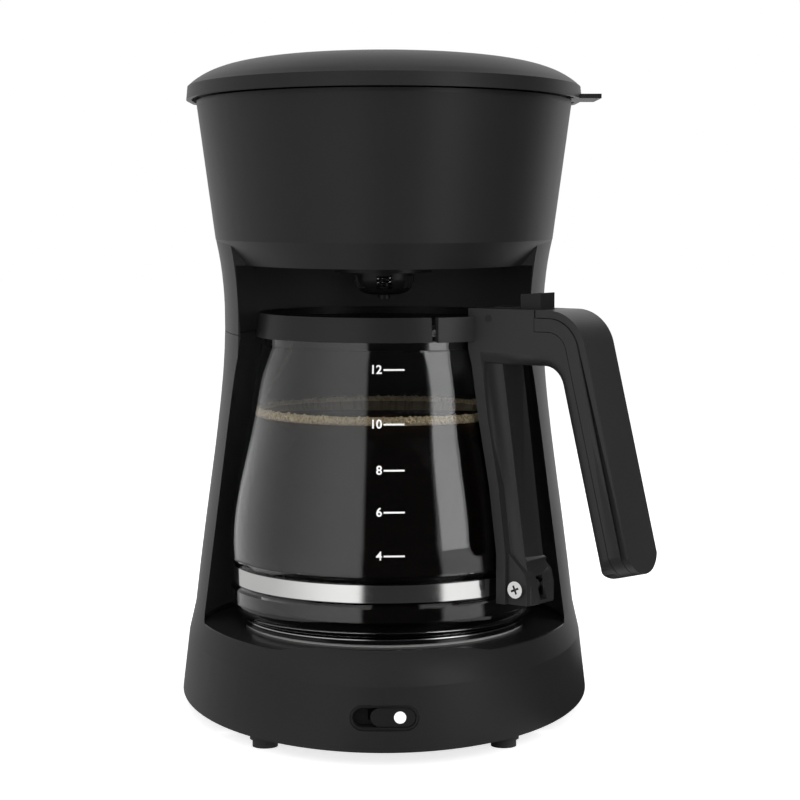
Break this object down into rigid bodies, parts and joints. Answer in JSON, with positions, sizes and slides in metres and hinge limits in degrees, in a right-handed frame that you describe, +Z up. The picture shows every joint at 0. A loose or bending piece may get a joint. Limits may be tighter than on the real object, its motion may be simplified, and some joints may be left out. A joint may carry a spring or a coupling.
{
  "type": "drip coffee maker",
  "caption": "Free-standing drip coffee maker with a waisted black housing, hinged domed lid, front slide switch, warming plate and lift-out glass carafe with lever lid.",
  "frame": {"origin": "on the standing surface, under the middle of the box round the whole machine, carafe handle included", "axes": "+Z up, +Y to the back of the machine, +X to the right when it is seen from the front"},
  "size_m": [0.2307, 0.2318, 0.3259],
  "materials": {
    "housing_plastic": "fine satin grain, charcoal black",
    "black_plastic": "satin black",
    "grip_plastic": "soft satin black",
    "inner_plastic": "plain moulded black",
    "enamel": "gloss black non-stick coating",
    "steel": "polished",
    "aluminium": "plain extruded",
    "silicone": "translucent grey silicone",
    "foot_rubber": "matt black rubber",
    "carafe_glass": "clear blown glass",
    "lamp": "white diffusing lens",
    "device": "phenolic and nylon"
  },
  "bodies": {
    "housing": {"base_housing": "housing_plastic", "head_housing": "housing_plastic", "bottom_cover": "inner_plastic", "foot_front_left": "foot_rubber", "foot_front_right": "foot_rubber", "foot_back_left": "foot_rubber", "foot_back_right": "foot_rubber", "cover_screws": "steel", "warming_plate": "enamel", "plate_seal": "silicone", "heater_element": "aluminium", "water_tube": "aluminium", "inlet_hose": "silicone", "riser_pipe": "silicone", "check_valve": "device", "heater_clip": "steel", "plate_stud": "steel", "plate_stud_nut": "steel", "thermostat": "device", "thermal_fuse": "device", "reservoir_tank": "inner_plastic", "top_deck": "inner_plastic", "filter_basket": "black_plastic", "spray_arm": "inner_plastic", "drip_cage": "black_plastic", "switch_bezel": "black_plastic", "switch_body": "device", "cord_gland": "black_plastic", "lid_pin_left": "steel", "lid_pin_right": "steel"},
    "top_lid": {"top_lid": "housing_plastic"},
    "carafe": {"carafe_glass": "carafe_glass", "carafe_band": "steel", "carafe_handle": "grip_plastic", "grip_frame": "grip_plastic", "handle_cover": "grip_plastic", "clamp_screw": "steel", "clamp_nut": "steel", "carafe_lid_pin": "black_plastic"},
    "carafe_lid": {"carafe_lid": "black_plastic"},
    "drip_plunger": {"drip_plunger": "black_plastic", "drip_seal": "silicone", "drip_spring": "steel"},
    "switch_knob": {"switch_knob": "black_plastic", "lamp_lens": "lamp"}
  },
  "joints": [
    {"name": "lid_hinge", "type": "hinge", "parent": "housing", "child": "top_lid", "pos_m": [-0.01163, 0.10415, 0.3092], "axis": [-1, 0, 0], "range_deg": [0, 100]},
    {"name": "carafe_slide", "type": "slide", "parent": "housing", "child": "carafe", "axis": [0, -1, 0], "range_m": [0, 0.25]},
    {"name": "carafe_lid_hinge", "type": "hinge", "parent": "carafe", "child": "carafe_lid", "pos_m": [0.04507, -0.05158, 0.2004], "axis": [0.6018, 0.7986, 0], "range_deg": [0, 6]},
    {"name": "drip_stop", "type": "slide", "parent": "housing", "child": "drip_plunger", "axis": [0, 0, 1], "range_m": [0, 0.003], "stiffness_N_per_m": 150, "springref_m": -0.004, "deforming": ["drip_spring"]},
    {"name": "power_switch", "type": "slide", "parent": "housing", "child": "switch_knob", "axis": [-1, 0, 0], "range_m": [0, 0.007]}
  ]
}
